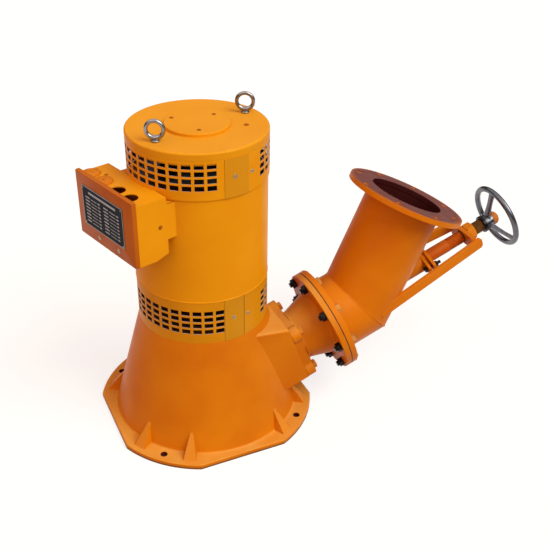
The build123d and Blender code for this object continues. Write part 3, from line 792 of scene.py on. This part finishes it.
make_piece("terminal_case", moved(folded_box(), in_box), box_paint, node="terminal_box")
lid_steps = [(lid_back + 1, box_sheet, 1), (lid_back, box_sheet, 1), (lid_back, 0.3, 2),
             (lid_back + 0.5, 0, 2), (box_face - 2.2, 0, 2), (box_face - 0.7, 0.6, 2), (box_face, 2.2, 2)]
pressed_lid = skin([lid_ring(*step) for step in lid_steps])
make_piece("terminal_lid", moved(pressed_lid, in_box), shaded_cover_paint, node="terminal_cover")
plugs = join_parts([cable_plug(y) for y in gland_places[:2]])
make_piece("entry_plugs", moved(plugs, in_box), plug_paint, node="cable_plugs")

# Rating plate: dark anodised sheet on four rivets, with pale generic bars and dashes. Two screws below it
# hold the cover, and painted screws sit in the box's side and top.
plate_left = -96.5
plate_low = 624
plate_wide = 180
plate_high = 107
plate_front = 266.2
plate_line = 0.25
plate_rim = 2.2
plate_dark = (0.014, 0.018, 0.028, 1)
plate_pale = (0.030, 0.036, 0.050, 1)
title_side = 30
title_low = 17
title_high = 11
row_count = 8
row_first = 30
row_pitch = 9.2
column_pitch = 82
dashes = [(14, 34, 3.6), (39, 66, 2.2), (70, 80, 3.6)]
rivet_inset = 6
rivet_profile = [(2.4, 0), (2.3, 0.7), (1.5, 1.4), (0.5, 1.6)]
cover_fixings = [(-34.5, 606), (52.5, 606)]
side_fixing = (190, box_half, 675)
top_fixings = [(213, -112), (211, -69)]


def plate_finish():
    """Anodised dark plate, faintly brushed along its length."""
    material, tree, shader = shader_tree("plate_slate")
    stretched = add(tree, "ShaderNodeMapping", Vector=surface_point(tree), Scale=(1.0, 1.0, 60.0))
    brushed = noise(stretched.outputs[0], 14.0, 4.0)
    feed(shader, Base_Color=blend(brushed, plate_dark, plate_pale), Roughness=0.5, Specular_IOR_Level=0.03,
         Normal=bump(brushed, 0.1, 0.1 * mm))
    return material


def strip(y_low, y_high, z_low, z_high):
    """Flat strip on the plate, its front edges a little drawn in."""
    inset = min(y_high - y_low, z_high - z_low, 2 * plate_line) * 0.2
    back = [(plate_front, y, z) for y, z in rectangle(y_low, y_high, z_low, z_high)]
    drawn = rectangle(y_low + inset, y_high - inset, z_low + inset, z_high - inset)
    return skin([back, [(plate_front + plate_line, y, z) for y, z in drawn]])


def plate_marks():
    """Rim of the plate, a title bar, and two columns of rows with three dashes each."""
    right = plate_left + plate_wide
    top = plate_low + plate_high
    parts = [strip(plate_left, right, plate_low, plate_low + plate_rim),
             strip(plate_left, right, top - plate_rim, top),
             strip(plate_left, plate_left + plate_rim, plate_low + plate_rim, top - plate_rim),
             strip(right - plate_rim, right, plate_low + plate_rim, top - plate_rim),
             strip(plate_left + title_side, right - title_side, top - title_low, top - title_high)]
    for row in range(row_count):
        level = top - row_first - row * row_pitch
        for column in (0, column_pitch):
            start = plate_left + column
            parts += [strip(start + low, start + high, level, level + tall) for low, high, tall in dashes]
    return join_parts(parts)


finish_node("rating_plate", plate_finish())
pale_lines = metal_finish("bare_plate_lines", (0.42, 0.45, 0.52, 1), (0.26, 0.29, 0.34, 1), 0.5, 200.0, 0.2)
make_piece("plate_marks", moved(plate_marks(), in_box), pale_lines)
fixings = []
for side in (plate_left + rivet_inset, plate_left + plate_wide - rivet_inset):
    for level in (plate_low + rivet_inset, plate_low + plate_high - rivet_inset):
        fixings.append(moved(turned(rivet_profile), facing_out((plate_front, side, level), (1, 0, 0))))
for side, level in cover_fixings:
    place = facing_out((box_face, side, level), (1, 0, 0), side * 0.04)
    fixings.append(moved(pan_screw(screw_radius), place))
make_piece("box_fixings", moved(join_parts(fixings), in_box), screw_steel)
painted_screws = [moved(pan_screw(screw_radius), facing_out(side_fixing, (0, 1, 0)))]
painted_screws += [moved(pan_screw(screw_radius * 0.9), at(x, y, box_top)) for x, y in top_fixings]
make_piece("box_screws", moved(join_parts(painted_screws), in_box), screw_paint)

# Nozzle body: a casting bolted to the duct by its square flange and to the pipe by its round one.
# Everything on the nozzle is placed along its axis, which rises toward the inlet.
jet_rise = radians(20.6)
jet_start = Vector((0, -71, 99.2))
jet_along = Vector((cos(jet_rise), 0, sin(jet_rise)))
jet_across = Vector((0, 1, 0))
jet_up = jet_along.cross(jet_across)
duct_end = 241
mount_face = 268
mount_half = 80
lobe_place = 68
mount_lobe = 24
nozzle_bore = 65
throat_bore = 88
nozzle_face = 349.5
gasket_low = 366
gasket_high = 368.5
pipe_face = 385
bolt_circle = 132
bolt_count = 8
joint_radius = 151
joint_bore = 103.5
bolt_hole = 9
edge_break = 0.8


def frame_at(start, across, up, along):
    """Matrix of a place with its three directions."""
    return Matrix.Translation(start) @ Matrix((across, up, along)).transposed().to_4x4()


def lobed_square(half, place, radius, count=288):
    """Square outline whose corners swell into round lobes."""
    reaches = []
    for turn in turns(count):
        x, y = abs(cos(turn)), abs(sin(turn))
        reach = half / max(x, y)
        aside = place * abs(x - y)
        if aside < radius:
            reach = max(reach, place * (x + y) + sqrt(radius ** 2 - aside ** 2))
        reaches.append(reach)
    ring = []
    for i, turn in enumerate(turns(count)):
        reach = (reaches[i - 1] + 2 * reaches[i] + reaches[(i + 1) % count]) / 4
        ring.append((reach * cos(turn), reach * sin(turn)))
    return ring


def holes_round(radius, spread, count):
    """A ring of equal round holes."""
    return [round_hole(radius, spread * cos(turn), spread * sin(turn), 24) for turn in turns(count)]


def pipe_ring(outer, bore, low, high, bore_count=96, spread=bolt_circle, broken=edge_break):
    """Drilled steel ring from low to high."""
    outlines = [round_hole(outer, count=96), round_hole(bore, count=bore_count)]
    return plate(outlines + holes_round(bolt_hole, spread, bolt_count), low, high, broken)


def nozzle_casting():
    """Square flange with bolt lobes, tapered throat that swells into the flanges, and the round flange."""
    square_outline = [lobed_square(mount_half, lobe_place, mount_lobe), round_hole(nozzle_bore)]
    throat = [(83, mount_face - 1), (78, mount_face + 1.5), (75.6, mount_face + 5), (75.6, mount_face + 10),
              (95.4, nozzle_face - 9), (97.4, nozzle_face - 3), (102, nozzle_face + 1),
              (throat_bore, nozzle_face + 1), (nozzle_bore, mount_face - 1)]
    return join_parts([plate(square_outline, duct_end, mount_face, 1.5), turned(throat, 64, close=False),
                       pipe_ring(joint_radius, throat_bore, nozzle_face, gasket_low, 64)])


on_jet = frame_at(jet_start, jet_across, jet_up, jet_along)
nozzle_throat = moved(nozzle_casting(), on_jet)
make_piece("nozzle_throat", nozzle_throat, casting_paint, node="nozzle_body")

# Pipe flanges: a dark red gasket pressed between two drilled steel rings, painted over with the pipe. Eight
# bolts have their painted heads on the pipe side and black nuts on the nozzle side, and four painted bolts
# hold the nozzle to the duct.
pipe_orange = (0.700, 0.205, 0.0030, 1)
pipe_shade = (0.630, 0.160, 0.0028, 1)
pipe_paint = painted("pipe_paint", pipe_orange, pipe_shade, coarse=0.25)[0]
washer_radius = 14
washer_thickness = 1.6
bolt_radius = 8
head_across = 24
duct_head_across = 22
gasket_finish = stacked_finish("red_gasket", (0.060, 0.010, 0.006, 1), 3 * mm, 0.7)
bolt_black = metal_finish("black_bolt", (0.030, 0.024, 0.022, 1), (0.012, 0.010, 0.010, 1), 0.32, 300.0)
head_paint = painted("bolt_head_paint", (0.66, 0.30, 0.06, 1), (0.34, 0.22, 0.10, 1),
                     rub_colour=(0.5, 0.42, 0.34, 1), width=0.8 * mm)[0]


def hexagon_ring(across, height, top_radius, count=48):
    """Ring round a hexagon, its corners turned down as on a real nut."""
    ring = []
    for turn in turns(count):
        reach = across / 2 / cos((turn + pi / 6) % (pi / 3) - pi / 6)
        drop = max(0.0, reach - top_radius) * tan(radians(30))
        ring.append((reach * cos(turn), reach * sin(turn), height - drop))
    return ring


def hex_nut(across, height, start):
    """Nut or bolt head with its corners chamfered at both ends."""
    top = across / 2 * 0.97
    low = [(x, y, 2 * start - z) for x, y, z in hexagon_ring(across, start, top)]
    return skin([circle(top, start, 48), low, hexagon_ring(across, start + height, top),
                 circle(top, start + height, 48)])


def threaded(radius, depth, pitch, low, high, count=24, per_turn=6):
    """Rod with a screw thread cut on it, from low to high on its axis."""
    rings = []
    steps = int((high - low) / pitch * per_turn)
    for step in range(steps + 1):
        height = low + (high - low) * step / steps
        ring = []
        for i, turn in enumerate(turns(count)):
            phase = (height / pitch - i / count) % 1.0
            reach = radius - depth * abs(2 * phase - 1) ** 0.8
            ring.append((reach * cos(turn), reach * sin(turn), height))
        rings.append(ring)
    return skin([circle(radius - depth, low, count)] + rings + [circle(radius - depth, high, count)])


def round_the_flange(part):
    """The part eight times round the bolt circle, each one turned a little further."""
    places = [at(bolt_circle * cos(turn), bolt_circle * sin(turn), 0, i * 0.37)
              for i, turn in enumerate(turns(bolt_count))]
    return join_parts([moved(part, on_jet @ place) for place in places])


joint_ring = pipe_ring(joint_radius, joint_bore, gasket_high, pipe_face)
make_piece("joint_ring", moved(joint_ring, on_jet), pipe_paint, node="elbow_flange")
seal = pipe_ring(joint_radius - 1, joint_bore, gasket_low, gasket_high, broken=0.0)
make_piece("joint_gasket", moved(seal, on_jet), gasket_finish, node="flange_gasket")
head_start = pipe_face + washer_thickness
bolt_head = join_parts([turned([(washer_radius, pipe_face), (washer_radius, head_start)]),
                        hex_nut(head_across, 10, head_start)])
nut_washer = turned([(washer_radius, nozzle_face - washer_thickness), (washer_radius, nozzle_face)])
bolt_nut = join_parts([nut_washer, hex_nut(head_across, 11.4, nozzle_face - 13),
                       threaded(bolt_radius, 0.9, 2, nozzle_face - 19, nozzle_face)])
make_piece("flange_bolt_heads", round_the_flange(bolt_head), head_paint, node="flange_bolts")
make_piece("flange_bolt_nuts", round_the_flange(bolt_nut), bolt_black)
duct_bolt = join_parts([turned([(washer_radius, mount_face - 0.2), (washer_radius, mount_face + 1.8)]),
                        hex_nut(duct_head_across, 9, mount_face + 1.8)])
lobes = [(x, y) for x in (-lobe_place, lobe_place) for y in (-lobe_place, lobe_place)]
duct_bolts = [moved(duct_bolt, on_jet @ at(x, y, 0, x * 0.009)) for x, y in lobes]
make_piece("duct_bolts", join_parts(duct_bolts), casting_paint)

# Inlet elbow: two lengths of steel pipe cut on the mitre and welded, with welded flanges. It is sprayed
# outside, the bore is left in red primer, darkened to near black as painted shade, and the last flange's
# face is primer with orange spray at its rim.
flange_outer = 170
pipe_radius = 109.5
pipe_bore = 104.5
vertex_place = 477.1
branch_turn = radians(45)
branch_length = 341.7
inlet_thickness = 15
inlet_circle = 147.5
pipe_end = 321.7
mitre = branch_turn / 2
vertex = on_jet @ Vector((0, 0, vertex_place))
branch_along = (jet_along * cos(branch_turn) + jet_up * sin(branch_turn)).normalized()
on_branch = frame_at(vertex, jet_across, branch_along.cross(jet_across), branch_along)
mitre_normal = (jet_along * cos(mitre) + jet_up * sin(mitre)).normalized()
inlet_primer = (0.205, 0.058, 0.050, 1)
inlet_primer_dark = (0.120, 0.034, 0.030, 1)
# Painted shade: red primer darkened to near black inside the bore.
shaded_bore_primer = (0.050, 0.007, 0.007, 1)
weld_radius = 4.2
mitre_weld_radius = 1.6
weld_step = 1.3
mitre_steps = 520


def make_axis_distance():
    """How far a point of the surface lies from a line, and how far along it."""
    group, given, out = shade_group(
        "axis_distance", {"Start": (0.0, 0.0, 0.0), "Along": (0.0, 0.0, 1.0)},
        {"Distance": "Float", "Along": "Float"})
    away = vector_math("SUBTRACT", surface_point(group), given["Start"])
    give(out["Distance"], vector_math("LENGTH", vector_math("CROSS_PRODUCT", away, given["Along"])))
    give(out["Along"], vector_math("DOT_PRODUCT", away, given["Along"]))
    return group


axis_distance = make_axis_distance()


def elbow_finish():
    material, tree, shader, tone = painted("elbow_paint", pipe_orange, pipe_shade, coarse=0.25)
    main, side, beyond = (place_group(tree, axis_distance, Start=vertex * mm, Along=along)
                          for along in (jet_along, branch_along, mitre_normal))
    on_side = above(beyond["Along"], 0.0)
    on_main = math("SUBTRACT", 1.0, on_side)
    reach = math("ADD", times(on_side, side["Distance"]), times(on_main, main["Distance"]))
    inside = below(reach, (pipe_radius + pipe_bore) / 2 * mm)
    feed(shader, Base_Color=blend(inside, tone, shaded_bore_primer))
    return material


def inlet_finish():
    """Primer on the face, spray paint on the rim and the back, its border soft and uneven."""
    material, tree, shader, tone = painted("inlet_flange_paint", pipe_orange, pipe_shade)
    line = place_group(tree, axis_distance, Start=vertex * mm, Along=branch_along)
    where = surface_point(tree)
    border = math("ADD", line["Distance"], times(noise(where, 11.0, 5.0), 30 * mm))
    spray = ramp(border, (flange_outer + 4) * mm, (flange_outer + 26) * mm, to_high=0.8)
    primer = blend(noise(where, 24.0, 6.0), inlet_primer, inlet_primer_dark)
    face = above(line["Along"], (branch_length - 0.7) * mm)
    tone = blend(face, tone, blend(spray, primer, pipe_orange))
    feed(shader, Base_Color=blend(below(line["Distance"], pipe_bore * mm), tone, shaded_bore_primer))
    return material


def weld_round(place, radius, count, height, size, lean=0.0):
    """Weld round a pipe at a height by angle: a low ridge whose ripples follow each other like scales."""
    spokes = [Vector((cos(turn), sin(turn), 0)) for turn in turns(count)]
    points = [place @ (spoke * radius + Vector((0, 0, height(spoke)))) for spoke in spokes]
    rings = []
    for i, point in enumerate(points):
        along = (points[(i + 1) % count] - points[i - 1]).normalized()
        out = (place.to_3x3() @ (spokes[i] + Vector((0, 0, lean)))).normalized()
        side = along.cross(out).normalized()
        swell = size * (1 + 0.16 * sin(i * pi / 2) + 0.05 * sin(i * 0.37))
        rings.append([point + side * (swell * cos(turn)) + out * (swell * 0.62 * sin(turn))
                      for turn in turns(8)])
    return hoop(rings)


def ring_weld(place, start):
    """Fillet weld round a pipe at a distance along its axis."""
    count = int(2 * pi * pipe_radius / weld_step / 4) * 4
    return weld_round(place, pipe_radius, count, lambda spoke: start, weld_radius)


def mitre_height(spoke):
    return vertex_place - pipe_radius * spoke.y * tan(mitre)


finish_node("elbow_pipe", elbow_finish())
inlet_low = branch_length - inlet_thickness
inlet_ring = pipe_ring(flange_outer, joint_bore, inlet_low, branch_length, spread=inlet_circle)
end_collar = turned([(pipe_radius, pipe_end - 1), (pipe_radius, branch_length - 2),
                     (pipe_bore, branch_length - 2), (pipe_bore, pipe_end - 1)], 96, close=False)
open_flange = moved(join_parts([inlet_ring, end_collar]), on_branch)
make_piece("open_flange", open_flange, inlet_finish(), node="inlet_flange")
welds = [ring_weld(on_jet, pipe_face),
         weld_round(on_jet, pipe_radius, mitre_steps, mitre_height, mitre_weld_radius),
         ring_weld(on_branch, inlet_low)]
make_piece("pipe_welds", join_parts(welds), pipe_paint)

# Stuffing box and gland: a steel sleeve welded into the elbow in line with the nozzle, packed round the
# spindle, with an oval plate that two studs pull down. The studs are black with oil.
sleeve_radius = 32
sleeve_low = vertex_place + 118
sleeve_end = 709
sleeve_lip = sleeve_end - 4
gland_low = 717
gland_high = 726
follower_radius = 27
spindle_radius = 19.5
stud_offset = 44
stud_low = 692
stud_high = 746
stud_across = 16
ear_radius = 14
sleeve_weld_radius = 3.4
seek_step = 0.25
seek_steps = 1200


def oval_outline():
    """Oval round the sleeve and the two studs."""
    lean = acos((sleeve_radius - ear_radius) / stud_offset)
    arcs = [(stud_offset, ear_radius, -lean, lean), (0, sleeve_radius, lean, pi - lean),
            (-stud_offset, ear_radius, pi - lean, pi + lean), (0, sleeve_radius, pi + lean, 2 * pi - lean)]
    ring = []
    for middle, radius, start, end in arcs:
        for step in range(13):
            turn = start + (end - start) * step / 12
            ring.append((middle + radius * cos(turn), radius * sin(turn)))
    return ring


def oval_plate(low, high):
    eyelets = [round_hole(5.2, x, 0, 20) for x in (-stud_offset, stud_offset)]
    return plate([oval_outline(), round_hole(spindle_radius)] + eyelets, low, high, edge_break)


def sleeve_height(spoke):
    """Where the sleeve leaves the branch pipe on that side."""
    branch = Vector((0, sin(branch_turn), cos(branch_turn)))
    for step in range(seek_steps):
        reach = step * seek_step
        if (spoke * sleeve_radius + Vector((0, 0, reach))).cross(branch).length > pipe_radius:
            break
    return vertex_place + reach


sleeve = turned([(sleeve_radius, sleeve_low), (sleeve_radius, sleeve_lip), (spindle_radius, sleeve_lip),
                 (spindle_radius, sleeve_low)], 64, close=False)
packing_sleeve = moved(join_parts([sleeve, oval_plate(sleeve_end - 9, sleeve_end)]), on_jet)
make_piece("packing_sleeve", packing_sleeve, pipe_paint, node="stuffing_box")
follower = plate([round_hole(follower_radius), round_hole(spindle_radius)], sleeve_end, gland_low + 1)
gland_cover = moved(join_parts([follower, oval_plate(gland_low, gland_high)]), on_jet)
make_piece("gland_cover", gland_cover, pipe_paint, node="gland_plate")
stud_washer = turned([(10, gland_high), (10, gland_high + 1)])
stud = join_parts([threaded(5, 0.6, 1.6, stud_low, stud_high), hex_nut(stud_across, 8, gland_high + 1),
                   hex_nut(stud_across, 7, sleeve_end - 17), stud_washer])
studs = join_parts([moved(stud, on_jet @ at(side, 0)) for side in (-stud_offset, stud_offset)])
make_piece("gland_stud_threads", studs, bolt_black, node="gland_studs")
sleeve_seam = weld_round(on_jet, sleeve_radius, 180, sleeve_height, sleeve_weld_radius, lean=0.6)
make_piece("sleeve_weld", sleeve_seam, pipe_paint)

# Yoke: two flat bars welded to the elbow, a cross plate between them and the square-cut nut that the
# spindle screws through, all painted with the pipe.
root_place = Vector((102.3, 0, 500))
end_place = Vector((61.6, 0, 881))
bar_half_width = 16
bar_half_thickness = 6
bar_corner = 6
bridge_low = 854
bridge_high = 868
half_span = 58.6
bridge_half = 24
nut_across = 50
nut_height = 25
nut_paint = painted("nut_paint", (0.74, 0.25, 0.004, 1), (0.62, 0.18, 0.004, 1), width=1.5 * mm)[0]


def cut_by(part, tool):
    """The part with everything inside the tool cut away."""
    pair = [put_in_scene("cutting", new_mesh("cutting", form)) for form in (part, tool)]
    cut = pair[0].modifiers.new("cut", "BOOLEAN")
    cut.operation = "DIFFERENCE"
    cut.object = pair[1]
    left = pair[0].evaluated_get(bpy.context.evaluated_depsgraph_get()).to_mesh()
    result = [v.co.copy() for v in left.vertices], [tuple(p.vertices) for p in left.polygons]
    for thing in pair:
        bpy.data.objects.remove(thing)
    return result


def yoke_bar(side):
    """Flat bar on its edge from the elbow wall to the bridge, its end corners cut off."""
    path = end_place - root_place
    length = path.length
    half = bar_half_width
    outline = [(0, -half), (length - bar_corner, -half), (length, bar_corner - half),
               (length, half - bar_corner), (length - bar_corner, half), (0, half)]
    along = Vector((side * path.x, 0, path.z)).normalized()
    up = Vector((0, 1, 0))
    lay = frame_at((side * root_place.x, 0, root_place.z), along, up, along.cross(up))
    bar = moved(plate([outline], -bar_half_thickness, bar_half_thickness, edge_break), on_jet @ lay)
    rod = turned([(pipe_radius - 0.3, -150), (pipe_radius - 0.3, 320)], 96)
    return cut_by(bar, moved(rod, on_branch))


for side, name, node in ((-1, "yoke_bar_near", "yoke_arm_near"), (1, "yoke_bar_far", "yoke_arm_far")):
    make_piece(name, yoke_bar(side), pipe_paint, node=node)
bridge_outline = rectangle(-half_span, half_span, -bridge_half, bridge_half)
bridge = plate([bridge_outline, round_hole(spindle_radius)], bridge_low, bridge_high, edge_break)
make_piece("cross_plate", moved(bridge, on_jet), pipe_paint, node="yoke_bridge")
fixed_nut = moved(hex_nut(nut_across, nut_height, bridge_high), on_jet @ at(0, 0, 0, pi / 6))
make_piece("fixed_nut", fixed_nut, nut_paint, node="yoke_nut")

# Spindle: a turned rod, painted with the pipe inside the yoke, with a greased screw thread from there
# outward, and the collar, hub and cap nut that hold the handwheel on its square end.
thread_pitch = 5
thread_depth = 2.0
thread_low = 800
thread_high = 925
grease_from = 850
rod_low = 600
seat_high = 970
seat_radius = 9
collar_radius = 26
collar_high = 934
hub_high = 960
nut_radius = 20
spindle_orange = (0.56, 0.105, 0.004, 1)
spindle_shade = (0.45, 0.07, 0.004, 1)
grease_dark = (0.030, 0.013, 0.006, 1)
grease_brown = (0.25, 0.12, 0.03, 1)
cap_nut_paint = painted("cap_nut_paint", (0.60, 0.20, 0.03, 1), (0.45, 0.13, 0.02, 1), width=1.5 * mm)[0]


def spindle_finish():
    material, tree, shader, tone = painted("spindle_paint", spindle_orange, spindle_shade)
    line = place_group(tree, axis_distance, Start=jet_start * mm, Along=jet_along)
    grease = blend(noise(surface_point(tree), 70.0, 5.0), grease_dark, grease_brown)
    feed(shader, Base_Color=blend(above(line["Along"], grease_from * mm), tone, grease))
    return material


plain_rod = turned([(spindle_radius * 0.9, rod_low), (spindle_radius, rod_low + 2),
                    (spindle_radius, thread_low), (spindle_radius - 2, thread_low + 1.5)], 48)
thread = threaded(spindle_radius, thread_depth, thread_pitch, thread_low, thread_high, count=48, per_turn=8)
seat = turned([(seat_radius, thread_high), (seat_radius, seat_high)])
spindle = moved(join_parts([plain_rod, thread, seat]), on_jet)
make_piece("threaded_spindle", spindle, spindle_finish(), "handwheel", node="spindle")
collar_profile = [(collar_radius - 1.5, thread_high), (collar_radius, thread_high + 1.5),
                  (collar_radius, collar_high - 1), (collar_radius - 1, collar_high)]
stop_collar = moved(turned(collar_profile, 48), on_jet)
make_piece("stop_collar", stop_collar, bolt_black, "handwheel", node="wheel_collar")
finish_node("handwheel", wheel_chrome)
domed = [(nut_radius - 1, hub_high - 0.5), (nut_radius, hub_high + 1)]
domed += [(nut_radius * cos(radians(lean)), hub_high + 10 + 14 * sin(radians(lean)))
          for lean in (0, 15, 30, 45, 60, 72, 82)]
cap_nut = moved(turned(domed, 48), on_jet)
make_piece("domed_cap_nut", cap_nut, cap_nut_paint, "handwheel", node="wheel_nut")
